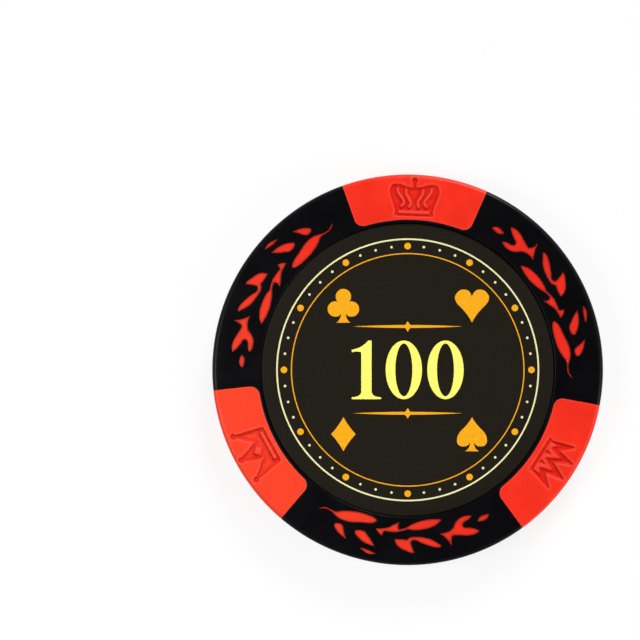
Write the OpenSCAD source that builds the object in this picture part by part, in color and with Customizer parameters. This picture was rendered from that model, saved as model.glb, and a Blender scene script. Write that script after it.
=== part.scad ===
// Poker chip of casino size: a black body moulded over a red core, with a steel slug inside
// for weight and a round label stuck in a shallow recess in each face.
// The chip lies flat. Its origin is the middle of the lower face, +Z goes up through the
// front face, and +Y runs through the middle of the block that carries the king's crown.
// Angles round the chip are in degrees clockwise from +Y, as seen from the front.

/* [Chip] */
// Diameter of the chip
chip_d = 40; // [38.5:0.5:44]
// Thickness of the chip
chip_t = 3.3; // [3.1:0.1:4]
// Radius that rounds the edge between each face and the side
edge_round = 0.45; // [0.2:0.05:0.8]

/* [Label recess] */
// Width of the ring between the recess and the chip's side
rim_w = 4.95; // [4.4:0.05:5.5]
// Depth of the recess below the face
recess_depth = 0.4; // [0.35:0.05:0.5]

/* [Label] */
// Gap between the label's edge and the wall of its recess
label_gap = 0.1; // [0.05:0.05:0.3]
// Thickness of the adhesive under the label
adhesive_t = 0.05; // [0.03:0.01:0.08]
// Thickness of the printed film
film_t = 0.12; // [0.08:0.01:0.16]
// Thickness of the clear laminate over the print
laminate_t = 0.05; // [0.03:0.01:0.08]

/* [Steel slug] */
// How far the slug's edge lies inside the edge of the recess
slug_inset = 0.75; // [0.5:0.05:2]
// Thickness of the slug
slug_t = 1.5; // [1.2:0.1:1.6]
// Radius that rounds the slug's edges
slug_round = 0.2; // [0.1:0.05:0.4]

/* [Red core] */
// Thickness of the black that covers the core at the faces and at the rim
skin_t = 0.6; // [0.4:0.05:0.7]
// Thickness of the lips that hold the slug
lip_t = 0.2; // [0.1:0.05:0.25]
// Reach of the lips over the slug's faces
lip_w = 0.6; // [0.4:0.1:2]

/* [Edge blocks] */
// Angle that each red block takes up
block_angle = 43.5; // [38:0.5:48]
// Width of the black line between the recess and a block
block_line = 0.31; // [0.2:0.01:0.5]
// Radius of a block's inner corners
block_corner = 0.95; // [0.3:0.05:1.2]

/* [Crowns] */
// Width of a crown across its outer points
crown_w = 4.94; // [4:0.02:6]
// Distance from a block's inner edge to the foot of its crown
crown_foot_gap = 0.4; // [0.2:0.05:0.8]
// Distance from the highest point of a crown to the rounded edge
crown_tip_gap = 0.05; // [0:0.05:0.6]
// Depth of the crown's floor below the face
crown_depth = 0.2; // [0.1:0.02:0.38]
// Diameter of the balls on the crowns' points
ball_d = 0.5; // [0.3:0.02:0.7]
// Width of the stem that carries the king's ball
stem_w = 0.24; // [0.1:0.02:0.4]
// Width of a curl in the king's crown
curl_w = 0.38; // [0.2:0.01:0.45]

/* [Edge spots] */
// Length of a spot along the rim
spot_l = 3.35; // [2:0.05:5]
// Height of a spot at its middle
spot_h = 1.3; // [0.6:0.05:1.8]
// Angle of each spot from the middle of its black stretch
spot_angle = 15; // [10:0.5:24]

/* [Hidden] */

// How far cutting shapes run past the faces that they cut
overrun = 0.2;
// How far leaves and spots run into the core that carries them
root = 0.3;
// Sides of a circle, and steps along a bowed side of an outline
$fn = 180;
side_steps = 5;

blocks = 3;
block_turn = 360 / blocks;
sector_angle = block_turn - block_angle;
chip_r = chip_d / 2;
flat_r = chip_r - edge_round;
mid_z = chip_t / 2;
recess_r = chip_r - rim_w;
label_r = recess_r - label_gap;
floor_z = chip_t - recess_depth;
film_z = floor_z + adhesive_t;
laminate_z = film_z + film_t;
slug_r = recess_r - slug_inset;
block_r = recess_r + block_line;
core_r = chip_r - skin_t;
core_t = chip_t - 2 * skin_t;
band_r = recess_r + block_line / 2;
lips_t = slug_t + 2 * lip_t;
lips_r = slug_r - lip_w;
face_band = flat_r - recess_r;
crown_foot_r = block_r + crown_foot_gap;
crown_h = flat_r - crown_tip_gap - crown_foot_r;
// Angle of each crown from the middle of its block, as the mould sets it
crown_turns = [0, 0.3, -0.7];

core_red = [0.97, 0.17, 0.12];
body_black = [0.05, 0.05, 0.06];
steel_grey = [0.62, 0.63, 0.65];
film_charcoal = [0.16, 0.14, 0.11];
adhesive_amber = [0.85, 0.8, 0.62];
laminate_clear = [0.3, 0.28, 0.24];

// Outlines. A row is a corner, and where it has two more numbers the side that starts there
// bows towards them. A leaf's rows give its place along a black stretch of the face and across
// the band from recess to edge. A crown's rows are the right half of it, from foot to tip.
bud_shares = [[0.088, 0.41, 0.105, 0.55], [0.147, 0.45, 0.132, 0.32]];
fork_shares = [
    [0.156, 0.655, 0.183, 0.725], [0.223, 0.635, 0.253, 0.57], [0.271, 0.555, 0.284, 0.58],
    [0.287, 0.765, 0.298, 0.58], [0.326, 0.445, 0.288, 0.48], [0.260, 0.385, 0.238, 0.215],
    [0.203, 0.215, 0.173, 0.215], [0.163, 0.28, 0.176, 0.325], [0.198, 0.335, 0.218, 0.36],
    [0.217, 0.415, 0.217, 0.465], [0.198, 0.49, 0.170, 0.56],
];
high_pair_shares = [
    [0.329, 0.725, 0.336, 0.78], [0.363, 0.725, 0.403, 0.64], [0.433, 0.54, 0.453, 0.495],
    [0.459, 0.585, 0.454, 0.68], [0.444, 0.815, 0.455, 0.84], [0.478, 0.77, 0.523, 0.69],
    [0.529, 0.515, 0.503, 0.49], [0.475, 0.525, 0.460, 0.435], [0.438, 0.455, 0.383, 0.47],
    [0.358, 0.58, 0.343, 0.635],
];
low_pair_shares = [
    [0.306, 0.145, 0.333, 0.27], [0.388, 0.295, 0.438, 0.32], [0.473, 0.28, 0.498, 0.325],
    [0.523, 0.35, 0.553, 0.36], [0.578, 0.352, 0.586, 0.365], [0.587, 0.46, 0.610, 0.42],
    [0.619, 0.325, 0.583, 0.305], [0.558, 0.25, 0.538, 0.175], [0.512, 0.125, 0.525, 0.24],
    [0.510, 0.285, 0.488, 0.27], [0.473, 0.225, 0.438, 0.115], [0.383, 0.088, 0.333, 0.085],
];
long_leaf_shares = [
    [0.622, 0.155, 0.628, 0.215], [0.658, 0.25, 0.698, 0.285], [0.733, 0.34, 0.788, 0.415],
    [0.828, 0.325, 0.843, 0.3], [0.860, 0.305, 0.883, 0.315], [0.900, 0.405, 0.886, 0.28],
    [0.858, 0.278, 0.838, 0.278], [0.820, 0.26, 0.768, 0.065], [0.688, 0.068, 0.630, 0.07],
];
near_leaf_shares = [
    [0.611, 0.735, 0.661, 0.727], [0.696, 0.595, 0.722, 0.497], [0.693, 0.455, 0.666, 0.42],
    [0.651, 0.52, 0.633, 0.58],
];
far_leaf_shares = [
    [0.736, 0.735, 0.776, 0.695], [0.797, 0.593, 0.812, 0.515], [0.792, 0.478, 0.772, 0.445],
    [0.761, 0.54, 0.751, 0.635],
];
sliver_shares = [[0.603, 0.895, 0.628, 0.985], [0.668, 0.84, 0.639, 0.82]];
leaf_shares = [
    bud_shares, fork_shares, high_pair_shares, low_pair_shares,
    long_leaf_shares, near_leaf_shares, far_leaf_shares, sliver_shares,
];

king_shares = [
    [0.388, 0], [0.381, 0.128, 0.398, 0.25], [0.466, 0.477, 0.506, 0.6],
    [0.5, 0.68, 0.495, 0.84], [0.39, 0.845, 0.3, 0.855], [0.205, 0.797, 0.13, 0.755],
    [0, 0.76],
];
king_bar_shares = [[0.334, 0.04], [0.334, 0.15], [0, 0.15]];
king_curl_shares = [
    [[0.352, 0.73], [0.368, 0.55], [0.1, 0.4], [0.262, 0.262]],
    [[0.175, 0.69], [0.202, 0.522], [0, 0.416], [0.103, 0.245]],
];
king_stem_share = 0.72;
king_ball_share = [0, 0.965];
queen_shares = [
    [0.386, 0.025], [0.516, 0.856], [0.494, 0.856], [0.182, 0.4], [0.02, 0.965], [0, 0.965],
];
queen_bar_shares = [[0.318, 0.064], [0.318, 0.171], [0, 0.171]];
queen_gem_shares = [[0, 0.31], [0.105, 0.445], [0, 0.58]];
queen_ball_shares = [[-0.505, 0.856], [0, 0.965], [0.505, 0.856]];
jack_shares = [
    [0.39, 0.065], [0.37, 0.17], [0.502, 0.762], [0.49, 0.777], [0.273, 0.462],
    [0.192, 0.97], [0.172, 0.97], [0, 0.5],
];
jack_crest_shares = [
    [0.34, 0.123], [0.352, 0.385], [0.233, 0.257], [0.152, 0.639], [0, 0.262],
];
jack_pit_shares = [[0.08, 0.185], [0.152, 0.185], [0.116, 0.325]];

// Point at an angle round the chip and a distance from its middle
function ring_point(angle, r) = [r * sin(angle), r * cos(angle)];

// Points along the side that starts at one row of an outline and ends at the next
function side_points(row, next) =
    len(row) == 2 ? [row] :
    [for (i = [0 : side_steps - 1])
        let (s = i / side_steps, start = [row[0], row[1]], bow = [row[2], row[3]])
        pow(1 - s, 2) * start + 2 * s * (1 - s) * bow + pow(s, 2) * [next[0], next[1]]];

// Points of a closed outline
function outline(rows) =
    [for (i = [0 : len(rows) - 1]) each side_points(rows[i], rows[(i + 1) % len(rows)])];

// Points of a whole outline from the rows of its right half
function both_halves(rows) =
    let (
        sides = [for (i = [0 : len(rows) - 2]) each side_points(rows[i], rows[i + 1])],
        last = rows[len(rows) - 1],
        half = concat(sides, [[last[0], last[1]]]),
        left = [for (i = [len(half) - 1 : -1 : 0]) if (half[i][0] > 0) [-half[i][0], half[i][1]]]
    )
    concat(half, left);

// Points of a leaf, from its shares of the black stretch and of the band across the face
function leaf_points(rows) =
    [for (p = outline(rows))
        ring_point(block_angle / 2 + sector_angle * p[0], recess_r + face_band * p[1])];

// Points of a crown's outline, from its shares of the crown's width and height
function crown_points(points) =
    [for (p = points) [p[0] * crown_w, crown_foot_r + p[1] * crown_h]];

function unit(v) = v / norm(v);
function turned(v) = [v[1], -v[0]];

// Point on a curl's centre line, which four points bend into an S
function curl_point(c, s) =
    pow(1 - s, 3) * c[0] + 3 * s * pow(1 - s, 2) * c[1]
    + 3 * pow(s, 2) * (1 - s) * c[2] + pow(s, 3) * c[3];

// Direction of a curl's centre line
function curl_way(c, s) =
    unit(pow(1 - s, 2) * (c[1] - c[0]) + 2 * s * (1 - s) * (c[2] - c[1])
        + pow(s, 2) * (c[3] - c[2]));

// Anticlockwise outline of a curl with round ends, from its four points
function curl_outline(c) =
    let (n = 2 * side_steps, r = curl_w / 2, half_turns = [1 : side_steps - 1])
    concat(
        [for (i = [0 : n]) curl_point(c, i / n) + r * turned(curl_way(c, i / n))],
        [for (i = half_turns)
            let (a = 180 * i / side_steps, w = curl_way(c, 1))
            c[3] + r * (cos(a) * turned(w) + sin(a) * w)],
        [for (i = [n : -1 : 0]) curl_point(c, i / n) - r * turned(curl_way(c, i / n))],
        [for (i = half_turns)
            let (a = 180 * i / side_steps, w = curl_way(c, 0))
            c[0] - r * (cos(a) * turned(w) + sin(a) * w)]
    );

// A disc with rounded edges, standing on the origin
module rounded_disc(r, t, round) {
    rotate_extrude() {
        square([r - round, t]);
        translate([0, round]) square([r, t - 2 * round]);
        for (z = [round, t - round]) translate([r - round, z]) circle(r = round);
    }
}

// The whole chip as one solid, before it is shared out between red and black
module chip_form() {
    rounded_disc(chip_r, chip_t, edge_round);
}

// Turns its children over, from the front face onto the back
module turned_over() {
    translate([0, 0, chip_t]) rotate([0, 180, 0]) children();
}

// Space for the label, in the front face
module recess() {
    translate([0, 0, floor_z]) cylinder(r = recess_r, h = recess_depth + overrun);
}

module slug_form() {
    translate([0, 0, mid_z - slug_t / 2]) rounded_disc(slug_r, slug_t, slug_round);
}

// Ring that grips the slug between two lips and ties blocks, leaves and spots together
module core_ring() {
    difference() {
        rotate_extrude() {
            translate([lips_r, mid_z - lips_t / 2]) square([core_r - lips_r, lips_t]);
            translate([band_r, skin_t]) square([core_r - band_r, core_t]);
        }
        slug_form();
    }
}

// Right half of an edge block's outline, from the middle of its inner edge to past the rim
function block_half_points() =
    let (
        half = block_angle / 2,
        corner_r = block_r + block_corner,
        corner_turn = half - asin(block_corner / corner_r),
        bend = 90 - half + corner_turn,
        reach = chip_r + overrun,
        n = 2 * side_steps
    )
    concat(
        [for (i = [0 : n]) ring_point(corner_turn * i / n, block_r)],
        [for (i = [1 : n])
            ring_point(corner_turn, corner_r)
                + ring_point(corner_turn + 180 - bend * i / n, block_corner)],
        [[reach * tan(half), reach]]
    );

// Flat shape of an edge block, wider than the rim so that the chip's form can trim it
module block_shape() {
    right = block_half_points();
    left = [for (i = [len(right) - 1 : -1 : 1]) [-right[i][0], right[i][1]]];
    polygon(concat(right, left));
}

// One block, running past the chip's own surface
module block_form(i) {
    translate([0, 0, -overrun]) linear_extrude(chip_t + 2 * overrun)
        rotate(-block_turn * i) block_shape();
}

// Sprigs of leaves between the blocks, standing on the core and running past the front face
module leaves(past) {
    translate([0, 0, chip_t - skin_t - root]) linear_extrude(skin_t + root + past)
        for (i = [0 : blocks - 1], rows = leaf_shares)
            rotate(-block_turn * i) polygon(leaf_points(rows));
}

// Lens shape of a spot, as two arcs that meet in points
module spot_shape() {
    arc_r = (pow(spot_l / 2, 2) + pow(spot_h / 2, 2)) / spot_h;
    intersection_for (side = [-1, 1]) {
        translate([0, side * (arc_r - spot_h / 2)]) circle(r = arc_r);
    }
}

// Spots in the side of the chip, two in each black stretch
module edge_spots() {
    for (i = [0 : blocks - 1], side = [-1, 1])
        rotate(-(block_turn * (i + 0.5) + side * spot_angle))
            translate([0, chip_r + overrun, mid_z]) rotate([90, 0, 0])
                linear_extrude(skin_t + root + overrun) spot_shape();
}

// Flat shape of a crown's outline, of one of its ornaments or of a ball
module crown_part(rows) {
    polygon(crown_points(both_halves(rows)));
}

module crown_balls(shares) {
    for (p = crown_points(shares)) translate(p) circle(d = ball_d);
}

// Sunk part of the king's crown, round its bar and four curls
module king_crown() {
    stem_foot_r = crown_foot_r + king_stem_share * crown_h;
    ball_r = crown_foot_r + king_ball_share[1] * crown_h;
    difference() {
        union() {
            crown_part(king_shares);
            translate([-stem_w / 2, stem_foot_r]) square([stem_w, ball_r - stem_foot_r]);
            crown_balls([king_ball_share]);
        }
        crown_part(king_bar_shares);
        for (curl = king_curl_shares, side = [-1, 1])
            polygon(curl_outline(crown_points([for (p = curl) [side * p[0], p[1]]])));
    }
}

// Sunk part of the jack's crown, round its raised crest, with two pits in the crest
module jack_crown() {
    difference() {
        crown_part(jack_shares);
        crown_part(jack_crest_shares);
    }
    for (side = [-1, 1]) polygon(crown_points([for (p = jack_pit_shares) [side * p[0], p[1]]]));
}

// Sunk part of the queen's crown, round its bar and gem
module queen_crown() {
    difference() {
        union() {
            crown_part(queen_shares);
            crown_balls(queen_ball_shares);
        }
        crown_part(queen_bar_shares);
        crown_part(queen_gem_shares);
    }
}

// Crown of one block, as the space that it takes out of the front face
module crown_cut(i) {
    translate([0, 0, chip_t - crown_depth]) linear_extrude(crown_depth + overrun)
        rotate(-block_turn * i - crown_turns[i]) {
            if (i == 0) king_crown();
            if (i == 1) jack_crown();
            if (i == 2) queen_crown();
        }
}

// One edge block, trimmed to the chip's form, with a crown sunk in each face
module edge_block(i) {
    difference() {
        difference() {
            intersection() {
                chip_form();
                block_form(i);
            }
            crown_cut(i);
        }
        turned_over() crown_cut((blocks - i) % blocks);
    }
}

// A round layer of the label, at a height on the front face
module label_layer(z, t) {
    translate([0, 0, z]) cylinder(r = label_r, h = t);
}

// The same layer under the back face
module back_layer(z, t) {
    label_layer(chip_t - z - t, t);
}

module steel_slug() {
    color(steel_grey) slug_form();
}

module red_core() {
    color(core_red) {
        core_ring();
        leaves(0);
        turned_over() leaves(0);
        intersection() {
            chip_form();
            edge_spots();
        }
        for (i = [0 : blocks - 1]) edge_block(i);
    }
}

module black_body() {
    color(body_black) difference() {
        chip_form();
        recess();
        turned_over() recess();
        core_ring();
        leaves(overrun);
        turned_over() leaves(overrun);
        edge_spots();
        for (i = [0 : blocks - 1]) block_form(i);
        slug_form();
    }
}

module front_adhesive() {
    color(adhesive_amber) label_layer(floor_z, adhesive_t);
}

module front_label() {
    color(film_charcoal) label_layer(film_z, film_t);
}

module front_laminate() {
    color(laminate_clear) label_layer(laminate_z, laminate_t);
}

module back_adhesive() {
    color(adhesive_amber) back_layer(floor_z, adhesive_t);
}

module back_label() {
    color(film_charcoal) back_layer(film_z, film_t);
}

module back_laminate() {
    color(laminate_clear) back_layer(laminate_z, laminate_t);
}

steel_slug();
red_core();
black_body();
front_adhesive();
front_label();
front_laminate();
back_adhesive();
back_label();
back_laminate();
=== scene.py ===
"""Looks of a two-colour moulded poker chip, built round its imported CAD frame.

The two mouldings get a finely meshed skin with soft-edged crowns and a witness groove along every
line where red meets black. The labels get a printed face. Lengths are in millimetres in the
functions that shape a mesh, and in metres everywhere else. Angles round the chip run clockwise
from +Y.
"""

import math
from functools import lru_cache
from types import SimpleNamespace

import bmesh
import bpy
import numpy as np
from bpy.props import FloatProperty, FloatVectorProperty, IntProperty, PointerProperty
from mathutils import Matrix, Vector, geometry, kdtree


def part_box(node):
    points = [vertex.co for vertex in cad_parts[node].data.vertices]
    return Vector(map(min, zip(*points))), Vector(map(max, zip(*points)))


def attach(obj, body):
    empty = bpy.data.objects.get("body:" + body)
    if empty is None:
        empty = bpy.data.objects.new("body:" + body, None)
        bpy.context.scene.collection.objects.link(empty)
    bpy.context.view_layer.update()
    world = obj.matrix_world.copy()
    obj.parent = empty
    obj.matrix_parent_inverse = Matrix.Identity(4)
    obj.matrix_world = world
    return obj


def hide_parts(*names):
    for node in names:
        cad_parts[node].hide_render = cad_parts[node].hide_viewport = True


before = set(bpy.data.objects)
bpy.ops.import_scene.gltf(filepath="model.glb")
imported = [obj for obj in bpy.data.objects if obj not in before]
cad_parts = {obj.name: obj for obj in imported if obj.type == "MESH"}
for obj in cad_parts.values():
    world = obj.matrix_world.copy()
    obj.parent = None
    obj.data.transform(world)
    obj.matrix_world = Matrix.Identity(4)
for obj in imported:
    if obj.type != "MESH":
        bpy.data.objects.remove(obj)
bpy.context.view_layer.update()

bl_info = {
    "name": "Poker Chip",
    "version": (1, 0, 0),
    "blender": (4, 5, 0),
    "location": "3D View > Sidebar > Poker Chip",
    "description": "Moulds, prints and stages a poker chip round its CAD frame",
    "category": "Object",
}

MM = 0.001
BLOCKS = 3
BLOCK_TURN = 2 * math.pi / BLOCKS

# Points that are closer than this, in millimetres, are one point
TOUCH = 1e-4
# Points closer than the first are welded, and edges shorter than the second taken out
WELD, SPECK = 0.3 * TOUCH, 0.1 * TOUCH
# Decimals, in millimetres, that tell points and flat levels apart
POINT_DECIMALS, LEVEL_DECIMALS = 4, 3
# A flat level with no more triangles than this is a sliver and not a face
STRAY = 9
# An outline that turns by more than this at a point has a corner there
SHARP_TURN = math.radians(28)
# An edge at which the surface bends by more than this looks sharp
SHARP_EDGE = math.radians(50)

# Distances between the points along an outline, in millimetres
LEAF_SPACING, CROWN_SPACING, SPOT_SPACING = 0.11, 0.09, 0.12
# Points down the side of a block, round its inner corner and along half of its inner edge
SIDE_POINTS, CORNER_POINTS, INNER_POINTS = 17, 9, 34
# Lean of the rounded edge at which the face's sheet ends, and leans at which the mesh has rings
SHEET_LEAN = math.pi / 4
SHEET_LEANS = np.linspace(0, SHEET_LEAN, 5, endpoint=False)
RIM_LEANS = np.linspace(SHEET_LEAN, math.pi / 2, 6)
# Rows of points up the side, and columns along the core's band between two blocks
SIDE_ROWS, BAND_COLUMNS = 9, 48
# Points round the rounded edges of the recess and the label
RECESS_BENDS, LABEL_BENDS = 5, 4
# Distances from an outline at which the mesh has points, as shares of the groove's width,
# of the crowns' wall and of the flash's reach
GROOVE_STEPS = np.array([0.25, 0.5, 0.85, 1.4])
WALL_STEPS = np.array([0.17, 0.34, 0.52, 0.85, 1.5, 2.4])
FLASH_STEPS = np.array([0.65, 1, 1.6])
# Share of its distance from an outline that a point keeps from every other stretch
CLEAR_SHARE = 0.9
# Of the points beside outlines, one is kept in each square of this width, in millimetres
THINNING = 0.02
# Distances that loose points keep from lines of the mesh, in millimetres, and that of a ring
# of points from the recess
MOUTH_CLEAR, RIM_CLEAR, LINE_CLEAR = 0.05, 0.03, 0.015
MOUTH_RING = 0.12
# Distances that other points keep from leaves and spots, as shares of the groove's width
LEAF_CLEAR, SPOT_CLEAR = 1.99, 2.38
# Number of the recess among the areas of the face's plan
RECESS_AREA = 0


# Sizes and outlines that come from the CAD frame


def node_triangles(name):
    """Corners of a CAD node's triangles, in millimetres."""
    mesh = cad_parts[name].data
    mesh.calc_loop_triangles()
    points = np.empty(3 * len(mesh.vertices), np.float32)
    mesh.vertices.foreach_get("co", points)
    corners = np.empty(3 * len(mesh.loop_triangles), np.int32)
    mesh.loop_triangles.foreach_get("vertices", corners)
    return points.reshape(-1, 3)[corners].reshape(-1, 3, 3).astype(float) / MM


def flat_at(triangles, z):
    """The triangles that lie flat at a height."""
    return triangles[np.all(np.abs(triangles[:, :, 2] - z) < TOUCH, axis=1)]


def angle_of(points):
    """Angles of points round the chip."""
    return np.arctan2(points[..., 0], points[..., 1])


def radius_of(points):
    """Distances of points from the chip's axis."""
    return np.hypot(points[..., 0], points[..., 1])


def ring_point(angle, r):
    """Points in plan at an angle and a radius."""
    return np.stack([r * np.sin(angle), r * np.cos(angle)], axis=-1)


def ring_at(angle, r, z):
    """Points at an angle, a radius and a height."""
    plan = ring_point(angle, r)
    return np.column_stack([plan, np.broadcast_to(z, len(plan))])


def clockwise(points, angle):
    """Points in plan turned about the chip's axis."""
    c, s = math.cos(angle), math.sin(angle)
    return points @ np.array([[c, -s], [s, c]])


def from_turn(angles):
    """Angles brought to within half a turn of zero."""
    return (angles + math.pi) % (2 * math.pi) - math.pi


def from_block(angles):
    """Angles measured from the middle of the nearest block."""
    return (angles + BLOCK_TURN / 2) % BLOCK_TURN - BLOCK_TURN / 2


def from_block_edge(angles):
    """Angles measured from the nearest edge of a block."""
    return np.abs(np.abs(from_block(angles)) - measured().block_half)


def on_block(angles):
    """Whether angles are between the edges of a block."""
    return np.abs(from_block(angles)) < measured().block_half


def border_loops(triangles):
    """Closed loops of points round patches of flat triangles, in plan."""
    points = np.round(triangles[:, :, :2].reshape(-1, 2), POINT_DECIMALS)
    corner, inverse = np.unique(points, axis=0, return_inverse=True)
    ways = set()
    for a, b, c in inverse.reshape(-1, 3).tolist():
        ways |= {(a, b), (b, c), (c, a)}
    following = {a: b for a, b in ways if (b, a) not in ways}
    loops = []
    while following:
        start, at = following.popitem()
        loop = [start]
        while at != start and at in following:
            loop.append(at)
            at = following.pop(at)
        loops.append(corner[loop])
    return loops


def loop_area(loop):
    """Area inside a loop, below zero where the loop runs clockwise."""
    x, y = loop.T
    return 0.5 * float(np.sum(x * np.roll(y, -1) - y * np.roll(x, -1)))


@lru_cache(maxsize=1)
def measured():
    """The chip's own sizes, in millimetres, read off the CAD nodes."""
    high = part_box("black_body")[1] / MM
    black = flat_at(node_triangles("black_body"), high.z)
    red = node_triangles("red_core")
    red_face = flat_at(red, high.z)
    level = red[np.ptp(red[:, :, 2], axis=1) < TOUCH][:, 0, 2]
    levels, shared_by = np.unique(np.round(level, LEVEL_DECIMALS), return_counts=True)
    _, crown_floor, band_top, *_ = levels[shared_by > STRAY][::-1]
    flat_r = radius_of(black).max()
    off = np.abs(from_block(angle_of(red_face)))
    r = radius_of(red_face)
    half = off[r > flat_r - TOUCH].max()
    block_r = r[off < half / 2].min()
    straight_r = r[np.abs(off - half) < TOUCH / flat_r].min()
    return SimpleNamespace(
        top=high.z,
        chip_r=high.x,
        flat_r=flat_r,
        edge_round=high.x - flat_r,
        recess_r=radius_of(black).min(),
        recess_floor=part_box("front_adhesive")[0].z / MM,
        block_half=half,
        block_r=block_r,
        block_corner=(straight_r**2 - block_r**2) / (2 * block_r),
        straight_r=straight_r,
        crown_floor=crown_floor,
        band_top=band_top,
        label_r=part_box("front_label")[1].x / MM,
        label_foot=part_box("front_label")[0].z / MM,
        label_top=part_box("front_laminate")[1].z / MM,
    )


def refined(loop, spacing):
    """A closed loop with its smooth stretches curved through its points, and its corners kept."""
    after = np.roll(loop, -1, axis=0) - loop
    length = np.linalg.norm(after, axis=1, keepdims=True)
    after = after / length
    before = np.roll(after, 1, axis=0)
    turn = np.arccos(np.clip(np.sum(before * after, axis=1), -1, 1))
    mean = before + after
    mean = mean / np.maximum(np.linalg.norm(mean, axis=1, keepdims=True), TOUCH)
    corner = (turn > SHARP_TURN)[:, None]
    leave = np.where(corner, after, mean) * length
    arrive = np.roll(np.where(corner, before, mean), -1, axis=0) * length
    points = []
    for k, start in enumerate(loop):
        end = loop[(k + 1) % len(loop)]
        steps = max(1, math.ceil(length[k, 0] / spacing))
        s = np.arange(steps)[:, None] / steps
        points.append(
            (1 + 2 * s) * (1 - s) ** 2 * start
            + s * (1 - s) ** 2 * leave[k]
            + s**2 * (3 - 2 * s) * end
            + s**2 * (s - 1) * arrive[k]
        )
    return np.concatenate(points)


@lru_cache(maxsize=1)
def leaf_outlines():
    """Outlines of the red leaves in the front face, anticlockwise."""
    loops = border_loops(flat_at(node_triangles("red_core"), measured().top))
    return [
        refined(loop, LEAF_SPACING)
        for loop in loops
        if loop_area(loop) > 0 and not on_block(angle_of(loop)).any()
    ]


@lru_cache(maxsize=1)
def crown_outlines():
    """Outlines of the sunk parts of the three crowns and of what stands up in them."""
    loops = border_loops(flat_at(node_triangles("red_core"), measured().crown_floor))
    return [refined(loop, CROWN_SPACING) for loop in loops if abs(loop_area(loop)) > TOUCH]


@lru_cache(maxsize=1)
def spot_outlines():
    """Outlines of the lens spots in the side, as distance round the rim and height."""
    chip_r = measured().chip_r
    red = node_triangles("red_core")
    side = red[np.all(radius_of(red) > chip_r - TOUCH, axis=1)]
    unrolled = np.stack([angle_of(side) % (2 * math.pi) * chip_r, side[:, :, 2]], axis=-1)
    return [
        refined(loop if loop_area(loop) > 0 else loop[::-1], SPOT_SPACING)
        for loop in border_loops(unrolled)
        if abs(loop_area(loop)) > TOUCH and not on_block(loop[:, 0] / chip_r).any()
    ]


def block_outline(i):
    """Line where a block meets the black, from the rim round the block's inner edge to the rim."""
    size = measured()
    corner_r = size.block_r + size.block_corner
    corner_turn = size.block_half - math.asin(size.block_corner / corner_r)
    sides = np.linspace(sheet_rim_r(), size.straight_r, SIDE_POINTS, endpoint=False)
    sweep = math.pi / 2 - (size.block_half - corner_turn)
    bends = size.block_half + math.pi / 2 + np.linspace(0, sweep, CORNER_POINTS, endpoint=False)
    half = np.concatenate(
        [
            ring_point(size.block_half, sides),
            ring_point(corner_turn, corner_r) + ring_point(bends, size.block_corner),
            ring_point(np.linspace(corner_turn, 0, INNER_POINTS), size.block_r),
        ]
    )
    return clockwise(np.concatenate([half, half[-2::-1] * [-1, 1]]), i * BLOCK_TURN)


# Settings that a user would change


def length_setting(name, description, millimetres):
    """A setting for a length."""
    return FloatProperty(
        name=name, description=description, default=millimetres * MM, unit="LENGTH", precision=5
    )


def angle_setting(name, description, degrees):
    """A setting for an angle."""
    return FloatProperty(
        name=name, description=description, default=math.radians(degrees), subtype="ANGLE"
    )


def power_setting(name, description, watts):
    """A setting for a lamp's power."""
    return FloatProperty(name=name, description=description, default=watts, unit="POWER")


def colour_setting(name, description, value):
    """A setting for a colour, in linear light."""
    return FloatVectorProperty(
        name=name, description=description, default=value, subtype="COLOR", size=3, min=0, max=1
    )


class ChipMouldingSettings(bpy.types.PropertyGroup):
    """Shape of the mouldings' soft edges."""

    crown_wall: length_setting("Crown wall", "Width of the soft wall round a sunk crown", 0.24)
    groove_depth: length_setting("Groove depth", "Depth of the groove where red meets black", 0.015)
    groove_width: length_setting("Groove width", "Width of the groove where red meets black", 0.11)
    recess_round: length_setting("Recess round", "Radius at the edge of the label recess", 0.09)
    flash_reach: length_setting("Flash reach", "How far black flash creeps over a leaf's edge", 0.19)
    rim_step: angle_setting("Rim step", "Angle between the mesh's columns round the rim", 0.75)


class ChipColourSettings(bpy.types.PropertyGroup):
    """Colours of plastics, label and steel."""

    red: colour_setting("Red", "Core, blocks, leaves and spots", (0.86, 0.028, 0.0125))
    # Painted light: the lighter, more orange red of the side painted as if lit more
    red_lit_side: colour_setting("Faded red", "Red on the side that faded", (0.92, 0.058, 0.0225))
    # Worn red of rubbed rims, also used for painted highlights on crown lips and block edges
    red_worn_and_highlit: colour_setting("Rubbed red", "Red on rubbed edges", (1.0, 0.17, 0.11))
    red_dusty: colour_setting("Dusty red", "Dust on the red", (1.0, 0.3, 0.22))
    red_flash: colour_setting("Red under flash", "Red with black over it", (0.16, 0.008, 0.008))
    # Painted shade: the darker red where shade falls in the crowns' sunk corners
    grime: colour_setting("Grime", "Red with grime in the corners of crowns", (0.56, 0.004, 0.002))
    black: colour_setting("Black", "Body", (0.0018, 0.0018, 0.0025))
    # Worn black of rubbed rims, also used for painted highlights beside block edges
    black_worn_and_highlit: colour_setting("Rubbed black", "Black on rubbed edges", (0.02, 0.02, 0.022))
    black_dusty: colour_setting("Dusty black", "Dust on the black", (0.06, 0.06, 0.06))
    film: colour_setting("Film", "Charcoal ground of the label", (0.0148, 0.0122, 0.0085))
    pale_yellow: colour_setting("Pale yellow", "Ink of the number", (0.98, 0.93, 0.17))
    gold: colour_setting("Gold", "Ink of suits, rules, inner ring and large dots", (0.9, 0.4, 0.012))
    cream: colour_setting("Cream", "Ink of outer ring and small dots", (0.86, 0.8, 0.42))
    steel: colour_setting("Steel", "Cold-rolled steel of the slug", (0.56, 0.57, 0.58))
    adhesive: colour_setting("Adhesive", "Adhesive film under the labels", (0.7, 0.62, 0.38))


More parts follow.
